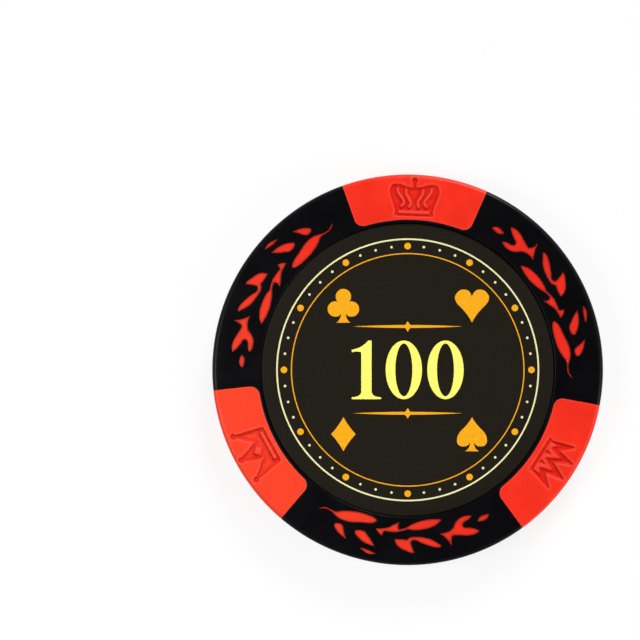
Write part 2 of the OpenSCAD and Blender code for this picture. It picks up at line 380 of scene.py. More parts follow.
class LabelPrintSettings(bpy.types.PropertyGroup):
    """Sizes of the printed design."""

    number_height: length_setting("Number height", "Height of the number", 6.0)
    suit_size: length_setting("Suit size", "Height of a card suit", 3.5)
    suit_radius: length_setting("Suit radius", "Distance of the suits from the middle", 9.3)
    rule_length: length_setting("Rule length", "Length of the rules over and under the number", 11.2)
    rule_width: length_setting("Rule width", "Width in the middle of a rule", 0.3)
    lozenge_size: length_setting("Lozenge size", "Height of the lozenge on a rule", 1.1)
    ring_radius: length_setting("Ring radius", "Radius of the outer ring", 13.45)
    ring_gap: length_setting("Ring gap", "Distance between the two rings", 1.5)
    line_width: length_setting("Line width", "Width of the outer ring's line", 0.16)
    large_dot: length_setting("Large dot", "Radius of a large dot between the rings", 0.34)
    small_dot: length_setting("Small dot", "Radius of a small dot between the rings", 0.13)
    ring_dots: IntProperty(name="Ring dots", description="Dots between the rings", default=48, min=4)
    turn: angle_setting("Turn", "Turn of the print from the king's block, anticlockwise", 2.2)


class StageSettings(bpy.types.PropertyGroup):
    """Camera and lamps."""

    lens: FloatProperty(name="Lens", description="Focal length", default=250, unit="CAMERA")
    picture_width: length_setting("Picture width", "What the picture spans at the face", 65.44)
    chip_right: length_setting("Chip to the right", "Place right of the picture's middle", 8.97)
    chip_down: length_setting("Chip down", "Place below the picture's middle", 5.10)
    roll: angle_setting("Roll", "Turn of the camera about its own axis", 2.2)
    key_power: power_setting("Key power", "Power of the key lamp", 8.5)
    side_power: power_setting("Side power", "Power of the lamp at the left", 0.25)
    fill_power: power_setting("Fill power", "Power of the fill lamp", 0.23)
    rim_power: power_setting("Rim power", "Power of the low lamp that lights the rim", 0.12)


def setting_names(group):
    """Names of the settings that a group holds."""
    return [key for key in group.bl_rna.properties.keys() if key not in ("rna_type", "name")]


def in_millimetres(group):
    """A group's settings, with their lengths in millimetres."""
    held = {key: getattr(group, key) for key in setting_names(group)}
    for key in held:
        if group.bl_rna.properties[key].unit == "LENGTH":
            held[key] /= MM
    return SimpleNamespace(**held)


def moulding():
    """The scene's settings for the mouldings."""
    return in_millimetres(bpy.context.scene.chip_moulding)


# Skin of the mouldings


# Spread of the groove, as a share of its width
GROOVE_SPREAD = 0.45
# Most wear of the rounded edge, the lean at which it gets that, and the spread round it
RIM_WEAR = 0.15
WORN_LEAN, WORN_SPREAD = 0.7, 0.45
# Painted highlight beside the grooves of the blocks, and its spread as a share of the groove's width
EDGE_HIGHLIGHT, EDGE_SPREAD = 0.8, 0.7
# Place and spread of the painted highlight on the lip round a crown, as shares of the crowns' wall
LIP_AT, LIP_SPREAD = 0.55, 0.33
# Reach of the painted shade in sunk corners, into a crown and out of it, as shares of the crowns' wall
CROWN_SHADE_IN, CROWN_SHADE_OUT = 1.5, 0.4
# Share of the flash that is gone at its reach, and the most of it on the spots
FLASH_FADE, SPOT_FLASH = 0.9, 0.6
# Read at each point: black flash over red, rubbing with painted highlights, painted shade in sunk corners
POINT_VALUES = ("flash", "wear", "grime")


def smooth_step(x):
    """Rises softly from 0 to 1 while x does."""
    x = np.clip(x, 0, 1)
    return x * x * (3 - 2 * x)


def bell(x):
    """Falls softly from 1 towards 0 on both sides of x = 0."""
    return np.exp(-(x**2))


def segment_distance(points, a, b):
    """Distance of each point to the stretch from its a to its b."""
    along = b - a
    share = np.sum((points - a) * along, axis=1) / np.maximum(np.sum(along**2, axis=1), TOUCH**2)
    return np.linalg.norm(points - a - np.clip(share, 0, 1)[:, None] * along, axis=1)


class Outlines:
    """A set of closed outlines that gives any point's distance to the nearest of them."""

    def __init__(self, lines):
        self.at = np.concatenate(lines)
        self.before = np.concatenate([np.roll(line, 1, axis=0) for line in lines])
        self.after = np.concatenate([np.roll(line, -1, axis=0) for line in lines])
        self.tree = kdtree.KDTree(len(self.at))
        for k, point in enumerate(self.at):
            self.tree.insert((*point, 0), k)
        self.tree.balance()

    def distance(self, points):
        """Distance of each point to the nearest outline."""
        nearest = np.array([self.tree.find((*point, 0))[1] for point in points])
        return np.minimum(
            segment_distance(points, self.at[nearest], self.after[nearest]),
            segment_distance(points, self.before[nearest], self.at[nearest]),
        )

    def inside(self, points):
        """Whether each point is inside an odd number of outlines."""
        odd = np.zeros(len(points), bool)
        x, y = points.T
        for (ax, ay), (bx, by) in zip(self.at, self.after):
            if ay != by:
                crosses = (ay > y) != (by > y)
                odd ^= crosses & (x < ax + (y - ay) * (bx - ax) / (by - ay))
        return odd

    def beside(self, levels):
        """Points at set distances on both sides of the outlines, clear of every other stretch."""
        along = self.after - self.before
        along = along / np.maximum(np.linalg.norm(along, axis=1, keepdims=True), TOUCH)
        across = np.stack([along[:, 1], -along[:, 0]], axis=1)
        found = []
        for level in levels:
            for side in (-level, level):
                points = self.at + side * across
                found.append(points[self.distance(points) > CLEAR_SHARE * level])
        found = np.concatenate(found)
        _, first = np.unique(np.round(found / THINNING), axis=0, return_index=True)
        return found[np.sort(first)]


class Plan:
    """Points, edges and areas of a flat figure that is to be triangulated."""

    def __init__(self):
        self.points, self.edges, self.areas = [], [], []
        self.count = 0

    def loose(self, points):
        """Adds points, and returns their numbers."""
        numbers = list(range(self.count, self.count + len(points)))
        self.points.append(points)
        self.count += len(points)
        return numbers

    def line(self, points, closed=True):
        """Adds a line of points with the edges along it, and returns their numbers."""
        numbers = self.loose(points)
        self.edges += list(zip(numbers, numbers[1:]))
        if closed:
            self.edges.append((numbers[-1], numbers[0]))
        return numbers

    def triangles(self):
        """Points, triangles and, for each triangle, the set of areas that it lies in."""
        given = [Vector(point) for point in np.concatenate(self.points)]
        points, _, faces, _, _, areas = geometry.delaunay_2d_cdt(
            given, self.edges, self.areas, 0, TOUCH
        )
        return np.array([p[:] for p in points]), np.array(faces), [set(area) for area in areas]


class Shell:
    """Points, faces and point values of a mesh in the making, in millimetres."""

    def __init__(self):
        self.points, self.faces = [], []
        self.values = {key: [] for key in POINT_VALUES}
        self.count = 0

    def add(self, points, faces, **values):
        """Adds faces with points and point values of their own."""
        points = np.asarray(points, float)
        self.points.append(points)
        self.faces += [[self.count + k for k in face] for face in faces]
        for key, held in self.values.items():
            held.append(np.broadcast_to(values.get(key, 0.0), len(points)))
        self.count += len(points)

    def add_some(self, points, faces, chosen, **values):
        """Adds the chosen faces, and only the points that they use."""
        faces = np.asarray(faces)[np.asarray(chosen, bool)]
        used, numbers = np.unique(faces, return_inverse=True)
        picked = {key: value[used] for key, value in values.items()}
        self.add(points[used], numbers.reshape(faces.shape).tolist(), **picked)

    def add_polygon(self, points):
        """Adds one face."""
        self.add(points, [range(len(points))])

    def lathe(self, profile, angles, flip=False):
        """Adds a surface of revolution through profile points (radius, height)."""
        rings = [ring_at(angles, r, z) for r, z in profile]
        quads = ring_faces(len(rings), len(angles))
        self.add(np.concatenate(rings), (quads[:, ::-1] if flip else quads).tolist())

    def build(self, name):
        """The welded mesh as an object, smooth but for its corners."""
        mesh = bpy.data.meshes.new(name)
        mesh.from_pydata((np.concatenate(self.points) * MM).tolist(), [], self.faces)
        for key, held in self.values.items():
            values = np.concatenate(held).astype(np.float32)
            mesh.attributes.new(key, "FLOAT", "POINT").data.foreach_set("value", values)
        work = bmesh.new()
        work.from_mesh(mesh)
        bmesh.ops.remove_doubles(work, verts=work.verts, dist=WELD * MM)
        bmesh.ops.dissolve_degenerate(work, edges=work.edges, dist=SPECK * MM)
        work.to_mesh(mesh)
        work.free()
        mesh.shade_smooth()
        mesh.set_sharp_from_angle(angle=SHARP_EDGE)
        piece = bpy.data.objects.new(name, mesh)
        bpy.context.scene.collection.objects.link(piece)
        return piece


def ring_faces(rows, columns):
    """Quads between rings of points that are stacked one after another."""
    k = np.arange(columns)
    after = (k + 1) % columns
    ring = np.column_stack([k, after, columns + after, columns + k])
    return np.concatenate([row * columns + ring for row in range(rows - 1)])


def turned_over(points):
    """Points of the front face turned over onto the back."""
    return points * [-1, 1, -1] + [0, 0, measured().top]


def both_faces(points):
    """Points of the front face, and the same on the back."""
    return points, turned_over(points)


def rounded_edge(lean, depth=0.0):
    """Radius and height on the rounded edge where it leans, at a depth under the skin."""
    size = measured()
    bend = size.edge_round - depth
    return size.flat_r + bend * np.sin(lean), size.top - size.edge_round + bend * np.cos(lean)


def lean_at(r):
    """Outward lean of the face and its rounded edge at a radius."""
    size = measured()
    return np.arcsin(np.clip((r - size.flat_r) / size.edge_round, 0, 1))


def on_skin(plan, depth):
    """Points of a plan on the front face and its rounded edge, at a depth under the skin."""
    r = radius_of(plan)
    lean = lean_at(r)
    _, z = rounded_edge(lean)
    shift = depth * np.sin(lean) / r
    return np.column_stack([plan * (1 - shift)[:, None], z - depth * np.cos(lean)])


def rim_wear(lean):
    """Rubbing that the rounded edge gets, most where it leans half-way."""
    return RIM_WEAR * bell((lean - WORN_LEAN) / WORN_SPREAD) * (lean > 0)


def sheet_rim_r():
    """Radius half-way round the rounded edge, where the face's sheet meets the rim."""
    return rounded_edge(SHEET_LEAN)[0]


def sheet_mouth_r():
    """Radius at the top of the recess's rounded edge."""
    return measured().recess_r + moulding().recess_round


def side_rows():
    """Heights of the rows of points up the side."""
    size = measured()
    return np.linspace(size.edge_round, size.top - size.edge_round, SIDE_ROWS)


def groove(distance):
    """Depth of the witness groove at a distance from its line."""
    held = moulding()
    return held.groove_depth * bell(distance / (GROOVE_SPREAD * held.groove_width))


def groove_steps():
    """Distances from a groove at which the mesh has points."""
    return moulding().groove_width * GROOVE_STEPS


@lru_cache(maxsize=1)
def rim_angles():
    """Angles of the mesh's columns, close together beside the edges of the blocks."""
    half = measured().block_half
    near = groove_steps() / measured().chip_r
    angles = []
    for i in range(BLOCKS):
        low, high = i * BLOCK_TURN - half, i * BLOCK_TURN + half
        for a, b in ((low, high), (high, low + BLOCK_TURN)):
            steps = math.ceil((b - a) / moulding().rim_step)
            between = np.linspace(a + near[-1], b - near[-1], steps)[1:-1]
            angles += [[a], a + near, between, b - near[::-1]]
    return np.concatenate(angles)


def add_block(plan, rim, i):
    """Adds a block to the face's plan, as an area that ends at the ring of points at the rim."""
    half = measured().block_half
    inner = plan.line(block_outline(i)[1:-1], closed=False)
    off = from_turn(rim_angles() - i * BLOCK_TURN)
    low, high = (rim[np.argmin(np.abs(off - edge))] for edge in (-half, half))
    plan.edges += [(high, inner[0]), (inner[-1], low)]
    across = [rim[(low + k) % len(rim)] for k in range((high - low) % len(rim) + 1)]
    plan.areas.append((inner + across)[::-1])


def beside_leaves(parting):
    """Points beside the edges of the leaves, further away than the grooves reach."""
    found = Outlines(leaf_outlines()).beside(moulding().flash_reach * FLASH_STEPS)
    return found[parting.distance(found) > LEAF_CLEAR * moulding().groove_width]


def sheet_plan(parting, hollow):
    """Plan of the front face from recess to rim, with the recess as its first area."""
    angles = rim_angles()
    mouth_r, rim_r = sheet_mouth_r(), sheet_rim_r()
    plan = Plan()
    rim = plan.line(ring_point(angles, rim_r))
    plan.areas.append(plan.line(ring_point(angles, mouth_r))[::-1])
    for leaf in leaf_outlines():
        plan.areas.append(plan.line(leaf))
    for i in range(BLOCKS):
        add_block(plan, rim, i)
    for crown in crown_outlines():
        plan.line(crown)
    loose = np.concatenate(
        [
            parting.beside(groove_steps()),
            beside_leaves(parting),
            hollow.beside(moulding().crown_wall * WALL_STEPS),
            *(ring_point(angles[::2], rounded_edge(lean)[0]) for lean in SHEET_LEANS),
            ring_point(angles[::3], mouth_r + MOUTH_RING),
        ]
    )
    r = radius_of(loose)
    to_line = np.minimum(parting.distance(loose), hollow.distance(loose))
    clear = (r > mouth_r + MOUTH_CLEAR) & (r < rim_r - RIM_CLEAR) & (to_line > LINE_CLEAR)
    plan.loose(loose[clear])
    return plan


@lru_cache(maxsize=1)
def face_sheet():
    """The front face from recess to rim: points, triangles, areas and the points' values."""
    size, held = measured(), moulding()
    blocks = [block_outline(i) for i in range(BLOCKS)]
    parting = Outlines(leaf_outlines() + [np.vstack([line, line[-2::-1]]) for line in blocks])
    hollow = Outlines(crown_outlines())
    plan, faces, areas = sheet_plan(parting, hollow).triangles()
    kept = [RECESS_AREA not in area for area in areas]
    to_parting = parting.distance(plan)
    into = np.where(hollow.inside(plan), 1, -1) * hollow.distance(plan)
    crowned = on_block(angle_of(plan))
    points = on_skin(plan, groove(to_parting))
    sunk = crowned * smooth_step(0.5 + into / held.crown_wall)
    points[:, 2] -= (size.top - size.crown_floor) * sunk
    # Painted highlights: a pale line on the lip round each crown and beside each block's edge
    lip = bell((into / held.crown_wall + LIP_AT) / LIP_SPREAD)
    edge = EDGE_HIGHLIGHT * bell(to_parting / (EDGE_SPREAD * held.groove_width))
    # Painted shade: red darkened near the crowns' walls, most in their sunk corners
    crown_shade_reach = np.where(into > 0, CROWN_SHADE_IN, CROWN_SHADE_OUT) * held.crown_wall
    flash = 1 - FLASH_FADE * smooth_step(to_parting / held.flash_reach)
    values = {
        "flash": np.where(crowned, 0, flash),
        "wear": np.maximum(rim_wear(lean_at(radius_of(plan))), crowned * np.maximum(lip, edge)),
        "grime": crowned * bell(into / crown_shade_reach),
    }
    areas = [area for area, keep in zip(areas, kept) if keep]
    return SimpleNamespace(points=points, faces=faces[kept], areas=areas, values=values)


def rim_ring(lean):
    """One ring of points round the rounded edge, with the blocks' grooves in it."""
    angles = rim_angles()
    r, _ = rounded_edge(lean)
    depth = groove(r * np.sin(np.minimum(from_block_edge(angles), math.pi / 2)))
    return ring_at(angles, *rounded_edge(lean, depth))


@lru_cache(maxsize=1)
def side_band():
    """The upright side of the chip with its lens spots: points, triangles, areas and flash."""
    size = measured()
    start = rim_angles()[0]
    away = np.append(rim_angles() - start, 2 * math.pi) * size.chip_r
    rows = side_rows()
    plan = Plan()
    bottom, top = (
        plan.line(np.column_stack([away, np.full(len(away), z)]), closed=False)
        for z in (rows[0], rows[-1])
    )

    def upright(column):
        """Adds a line of points up the side, and returns their numbers."""
        points = np.column_stack([np.full(len(rows) - 2, away[column]), rows[1:-1]])
        inner = plan.line(points, closed=False)
        plan.edges.extend([(bottom[column], inner[0]), (inner[-1], top[column])])
        return inner

    for i in range(BLOCKS):
        ends = (i * BLOCK_TURN, i * BLOCK_TURN + 2 * size.block_half)
        a, b = (int(np.argmin(np.abs(away - end * size.chip_r))) for end in ends)
        left, right = upright(a), upright(b)
        plan.areas.append(bottom[a : b + 1] + right + top[a : b + 1][::-1] + left[::-1])
    upright(-1)
    spots = [
        np.column_stack([(along - start * size.chip_r) % (2 * math.pi * size.chip_r), z])
        for along, z in (spot.T for spot in spot_outlines())
    ]
    for spot in spots:
        plan.areas.append(plan.line(spot))
    lens = Outlines(spots)

    def from_edge(points):
        """Distance of points on the side to the nearest edge of a block."""
        return from_block_edge(points[:, 0] / size.chip_r + start) * size.chip_r

    grid = np.array([(along, z) for z in rows[1:-1] for along in away[1:-1]])
    clear = lens.distance(grid) > SPOT_CLEAR * moulding().groove_width
    plan.loose(np.concatenate([grid[clear & (from_edge(grid) > TOUCH)], lens.beside(groove_steps())]))
    points, faces, areas = plan.triangles()
    depth = np.maximum(groove(lens.distance(points)), groove(from_edge(points)))
    solid = ring_at(points[:, 0] / size.chip_r + start, size.chip_r - depth, points[:, 1])
    flash = SPOT_FLASH * (1 - smooth_step(lens.distance(points) / moulding().flash_reach))
    return SimpleNamespace(
        points=solid, faces=faces[:, ::-1], areas=areas, flash=flash, spots=spots
    )


def add_skin(shell, red):
    """Adds the red or the black share of the chip's outer surface."""
    sheet, side = face_sheet(), side_band()
    of_sheet = [bool(area) == red for area in sheet.areas]
    of_side = [bool(area) == red for area in side.areas]
    angles = rim_angles()
    middle = angles + np.diff(angles, append=angles[0] + 2 * math.pi) / 2
    of_rim = np.tile(on_block(middle) == red, len(RIM_LEANS) - 1)
    quads = ring_faces(len(RIM_LEANS), len(angles))
    rim = np.concatenate([rim_ring(lean) for lean in RIM_LEANS])
    wear = np.repeat(rim_wear(RIM_LEANS), len(angles))
    for sheet_points, rim_points in zip(both_faces(sheet.points), both_faces(rim)):
        shell.add_some(sheet_points, sheet.faces, of_sheet, **sheet.values)
        shell.add_some(rim_points, quads, of_rim, wear=wear)
    shell.add_some(side.points, side.faces, of_side, flash=side.flash)


# Inside of the mouldings


def wall_and_floor(line, drop):
    """Polygons that close a plug under a loop of its skin: a wall down to a floor."""
    low = line + drop
    after = np.roll(np.arange(len(line)), -1)
    walls = [np.array([line[k], low[k], low[n], line[n]]) for k, n in enumerate(after)]
    return walls + [low[::-1]]


def leaf_plugs():
    """Hidden faces of the leaves, from the skin down to the core."""
    drop = np.array([0, 0, measured().band_top - measured().top])
    plugs = []
    for leaf in leaf_outlines():
        for polygon in wall_and_floor(on_skin(leaf, moulding().groove_depth), drop):
            plugs += both_faces(polygon)
    return plugs


def spot_plugs():
    """Hidden faces of the lens spots, as deep as the leaves, from the skin inwards to the core."""
    size = measured()
    plugs = []
    for spot in side_band().spots:
        turn = spot[:, 0] / size.chip_r + rim_angles()[0]
        line = ring_at(turn, size.chip_r - moulding().groove_depth, spot[:, 1])
        inward = np.append(ring_point(turn.mean(), size.band_top - size.top), 0)
        plugs += wall_and_floor(line[::-1], inward)
    return plugs


def rim_profile(turn):
    """Points down the rim at the edge of a block, between the two sheets, both left out."""
    size = measured()
    depth = moulding().groove_depth
    r, z = rounded_edge(RIM_LEANS[1:], depth)
    rows = side_rows()[1:-1][::-1]
    r = np.concatenate([r, np.full(len(rows), size.chip_r - depth), r[::-1]])
    z = np.concatenate([z, rows, size.top - z[::-1]])
    return ring_at(turn, r, z)


def block_sides():
    """Hidden faces of the blocks: the inner wall, and the flat side at each end."""
    size = measured()
    lines = [on_skin(block_outline(i), moulding().groove_depth) for i in range(BLOCKS)]
    faces = []
    for i, front in enumerate(lines):
        back = turned_over(lines[-i % BLOCKS])[::-1]
        first = int(np.argmax(radius_of(front) < size.straight_r + TOUCH))
        last = len(front) - 1 - first
        for k in range(first, last):
            faces.append(np.array([front[k], front[k + 1], back[k + 1], back[k]]))
        for way, ends in ((1, slice(first, None, -1)), (-1, slice(last, None))):
            turn = i * BLOCK_TURN + way * size.block_half
            profile = np.concatenate([front[ends], rim_profile(turn), back[ends][::-1]])
            faces.append(profile[::-way])
    return faces


def mirrored_down(upper):
    """A section's upper half, from the inside out, and the same below the chip's middle."""
    return upper + [(r, measured().top - z) for r, z in reversed(upper)]


def swept(section, angles):
    """Polygons of a closed solid: a section of (radius, height) points swept through angles."""
    rings = np.stack([ring_at(angles, r, z) for r, z in section])
    after = np.roll(rings, -1, axis=0)
    sides = [
        np.stack([rings[j, k], rings[j, k + 1], after[j, k + 1], after[j, k]])
        for j in range(len(section))
        for k in range(len(angles) - 1)
    ]
    return sides + [rings[:, 0], rings[::-1, -1]]


def band_stretches():
    """Hidden faces of the core's band, which carries leaves and spots from block to block."""
    size = measured()
    core_r = radius_of(flat_at(node_triangles("red_core"), size.band_top)).max()
    section = mirrored_down([(size.block_r, size.band_top), (core_r, size.band_top)])
    stretch = np.linspace(size.block_half, BLOCK_TURN - size.block_half, BAND_COLUMNS)
    return [face for i in range(BLOCKS) for face in swept(section, stretch + i * BLOCK_TURN)]


def hidden_faces():
    """Faces along which red and black meet inside the chip, as seen from the red."""
    return leaf_plugs() + spot_plugs() + block_sides() + band_stretches()


def collar_half():
    """Upper half of the section of the core's collar, which grips the slug with its lips."""
    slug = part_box("steel_slug")[1] / MM
    red = node_triangles("red_core")
    inner = red[np.all(radius_of(red) < slug.x + TOUCH, axis=1)]
    lip_r, lip_top = radius_of(inner).min(), inner[:, :, 2].max()
    return [(slug.x, slug.z), (lip_r, slug.z), (lip_r, lip_top), (measured().block_r, lip_top)]


def quarter_round(r, z, across, down, count):
    """Profile points round an edge that starts level at a radius and height and ends upright."""
    bend = np.linspace(0, math.pi / 2, count)
    return list(zip(r + across * np.sin(bend), z - down * (1 - np.cos(bend))))


def recess_profile():
    """Radius and height from the recess's rounded edge down its wall to its floor."""
    size = measured()
    edge_round = moulding().recess_round
    mouth = quarter_round(sheet_mouth_r(), size.top, -edge_round, edge_round, RECESS_BENDS)
    return [*mouth, (size.recess_r, size.recess_floor)]


def build_red():
    """The red moulding as one object."""
    shell = Shell()
    add_skin(shell, red=True)
    for polygon in hidden_faces():
        shell.add_polygon(polygon)
    collar = mirrored_down(collar_half())
    shell.lathe(collar + collar[:1], rim_angles()[::2])
    return shell.build("red_moulding")


def build_black():
    """The black moulding as one object, with sockets for the red and a hollow for collar and slug."""
    size = measured()
    shell = Shell()
    add_skin(shell, red=False)
    for polygon in hidden_faces():
        shell.add_polygon(polygon[::-1])
    recess = Shell()
    recess.lathe(recess_profile(), rim_angles(), flip=True)
    recess.add_polygon(ring_at(rim_angles(), size.recess_r, size.recess_floor)[::-1])
    for points in both_faces(np.concatenate(recess.points)):
        shell.add(points, recess.faces)
    angles = rim_angles()[::2]
    hollow = mirrored_down(collar_half()[1:])
    shell.lathe(hollow, angles, flip=True)
    for end, way in ((hollow[0], 1), (hollow[-1], -1)):
        shell.add_polygon(ring_at(angles, *end)[::way])
    return shell.build("black_moulding")


# Printed labels


INKS = ("film", "pale_yellow", "gold", "cream")

# Rows of outlines as shares of the height: x, y and, where the way there bends, the bend's x and y
HEART = [
    [0, -0.5],
    [0.40, 0.02, 0.12, -0.24],
    [0.46, 0.34, 0.56, 0.20],
    [0.22, 0.47, 0.37, 0.48],
    [0, 0.26, 0.06, 0.46],
]
SPADE = [
    [0, -0.5],
    [0.21, -0.5],
    [0.05, -0.24, 0.07, -0.44],
    [0.27, -0.36, 0.12, -0.37],
    [0.44, -0.18, 0.44, -0.35],
    [0.30, 0.12, 0.44, -0.02],
    [0, 0.5, 0.10, 0.30],
]
DIAMOND = [[0, -0.5], [0.36, 0, 0.15, -0.22], [0, 0.5, 0.15, 0.22]]
CLUB_STEM = [[0, -0.5], [0.21, -0.5], [0.045, -0.1, 0.06, -0.42], [0.045, 0.08], [0, 0.08]]
CLUB_LEAF = 0.225
CLUB_LEAVES = ((0, 0.265), (0.235, -0.1), (-0.235, -0.1))
FIGURE_ONE = [
    [-0.25, -0.5],
    [0.25, -0.5],
    [0.25, -0.465],
    [0.088, -0.375, 0.10, -0.465],
    [0.088, 0.5],
    [0.03, 0.5],
    [-0.25, 0.345, -0.08, 0.365],
    [-0.25, 0.30],
    [-0.088, 0.30, -0.16, 0.325],
    [-0.088, -0.375],
    [-0.25, -0.465, -0.10, -0.465],
]
# Places of the figures and the rules, as shares of the number's height
ONE_AT = -0.704
ZEROS_AT = (-0.066, 0.644)
RULES_AT = (-0.74, 0.74)
# Half the width and height of a zero outside and inside, as shares of the number's height
ZERO_HALVES = ((0.31, 0.5), (0.145, 0.45))
# Width of the inner ring's line, as a share of the outer one's
INNER_LINE = 0.7
# One dot in so many is a large one
LARGE_DOT_EVERY = 4
# Points round each kind of round outline, and along a bend
ZERO_POINTS, CLUB_POINTS, RING_POINTS, LARGE_DOT_POINTS, SMALL_DOT_POINTS = 96, 40, 300, 24, 16
BEND_POINTS, RULE_POINTS = 10, 40
# Columns round a label, and the radius that rounds its edge, in millimetres
LABEL_COLUMNS, LABEL_ROUND = 240, 0.04


def bowed(rows, count=BEND_POINTS):
    """A closed outline through rows of x and y. A row with four values bends on its way there."""
    points = []
    previous = np.array(rows[-1][:2], float)
    for row in rows:
        end = np.array(row[:2], float)
        if len(row) == 4:
            s = np.arange(1, count + 1)[:, None] / count
            points.append((1 - s) ** 2 * previous + 2 * s * (1 - s) * np.array(row[2:]) + s**2 * end)
        else:
            points.append(end[None, :])
        previous = end
    return np.concatenate(points)


def both_halves(rows):
    """An outline from the rows of its right half, which start and end on the middle line."""
    half = bowed(rows)
    whole = np.concatenate([half, half[::-1] * [-1, 1]])
    return whole[np.linalg.norm(whole - np.roll(whole, 1, axis=0), axis=1) > TOUCH]


def oval(rx, ry, count, at=(0, 0)):
    """An upright oval round a point."""
    turn = np.linspace(0, 2 * math.pi, count, endpoint=False)
    return np.column_stack([rx * np.cos(turn), ry * np.sin(turn)]) + at


def print_design(held):
    """The printed areas, in order: ink, outlines that are printed and outlines left free in them."""
    h = held.number_height
    items = [("pale_yellow", [bowed(FIGURE_ONE) * h + [ONE_AT * h, 0]], [])]
    for share in ZEROS_AT:
        outer, inner = (oval(x * h, y * h, ZERO_POINTS, (share * h, 0)) for x, y in ZERO_HALVES)
        items.append(("pale_yellow", [outer], [inner]))
    end, bow = held.rule_length / 2, held.rule_width
    for y in (share * h for share in RULES_AT):
        rule = bowed([[-end, y], [end, y, 0, y - bow], [-end, y, 0, y + bow]], RULE_POINTS)[1:]
        items.append(("gold", [rule, both_halves(DIAMOND) * held.lozenge_size + [0, y]], []))
    leaves = [oval(CLUB_LEAF, CLUB_LEAF, CLUB_POINTS, at) for at in CLUB_LEAVES]
    suits = [[both_halves(rows)] for rows in (HEART, SPADE, DIAMOND)]
    suits.append([both_halves(CLUB_STEM), *leaves])
    for k, outlines in enumerate(suits):
        at = ring_point(math.pi / 4 + k * math.pi / 2, held.suit_radius)
        items.append(("gold", [outline * held.suit_size + at for outline in outlines], []))
    outer, line = held.ring_radius, held.line_width
    for ink, r, width in (("cream", outer, line), ("gold", outer - held.ring_gap, INNER_LINE * line)):
        free = r - width
        items.append((ink, [oval(r, r, RING_POINTS)], [oval(free, free, RING_POINTS)]))
    for k in range(held.ring_dots):
        at = ring_point(k * 2 * math.pi / held.ring_dots, outer - held.ring_gap / 2 - line / 4)
        ink, r, count = ("cream", held.small_dot, SMALL_DOT_POINTS)
        if k % LARGE_DOT_EVERY == 0:
            ink, r, count = ("gold", held.large_dot, LARGE_DOT_POINTS)
        items.append((ink, [oval(r, r, count, at)], []))
    return items


def printed_face(held, edge):
    """The label's top within an edge: points, triangles and the number of each triangle's ink."""
    plan = Plan()
    plan.line(edge)
    owners = []
    for item, (ink, printed, free) in enumerate(print_design(held)):
        for outlines, is_printed in ((printed, True), (free, False)):
            for outline in outlines:
                outline = outline if loop_area(outline) > 0 else outline[::-1]
                plan.areas.append(plan.line(clockwise(outline, -held.turn)))
                owners.append((item, INKS.index(ink), is_printed))
    points, faces, areas = plan.triangles()
    inks = []
    for area in areas:
        found = [owners[k] for k in area]
        freed = {item for item, _, is_printed in found if not is_printed}
        kept = [ink for item, ink, is_printed in found if is_printed and item not in freed]
        inks.append(max(kept, default=INKS.index("film")))
    return points, faces, inks


def build_label(name):
    """A printed label as a closed disc, and the numbers of the inks of its first faces."""
    size = measured()
    held = in_millimetres(bpy.context.scene.chip_print)
    turn = np.arange(LABEL_COLUMNS) * 2 * math.pi / LABEL_COLUMNS
    flat_r = size.label_r - LABEL_ROUND
    points, faces, inks = printed_face(held, ring_point(turn, flat_r))
    shell = Shell()
    shell.add(np.column_stack([points, np.full(len(points), size.label_top)]), faces.tolist())
    edge = quarter_round(flat_r, size.label_top, LABEL_ROUND, LABEL_ROUND, LABEL_BENDS)
    shell.lathe([*edge, (size.label_r, size.label_foot)], turn)
    shell.add_polygon(ring_at(turn, size.label_r, size.label_foot))
    return shell.build(name), inks


def turn_over_matrix():
    """Half a turn about the Y line through the chip's middle, in metres."""
    middle = Vector((0, 0, measured().top * MM / 2))
    turn = Matrix.Rotation(math.pi, 4, "Y")
    return Matrix.Translation(middle) @ turn @ Matrix.Translation(-middle)


# Materials


# Values between which most of a noise lies
NOISE_LOW, NOISE_HIGH = 0.3, 0.7
# Numbers of a mix node's sockets for colours
MIX_A, MIX_B, MIX_OUT = 6, 7, 2
# Way to the block painted lighter as if lit more, and distances in that way where it starts and is full
LIT_SIDE_WAY = (*ring_point(2 * BLOCK_TURN, 1), 0)
LIT_SIDE_START, LIT_SIDE_FULL = 2 * MM, 16 * MM
# Size of dust specks
DUST = 0.16 * MM


def scaled(tone, factor):
    """A lighter or darker tone."""
    return tuple(min(1.0, factor * c) for c in tone)


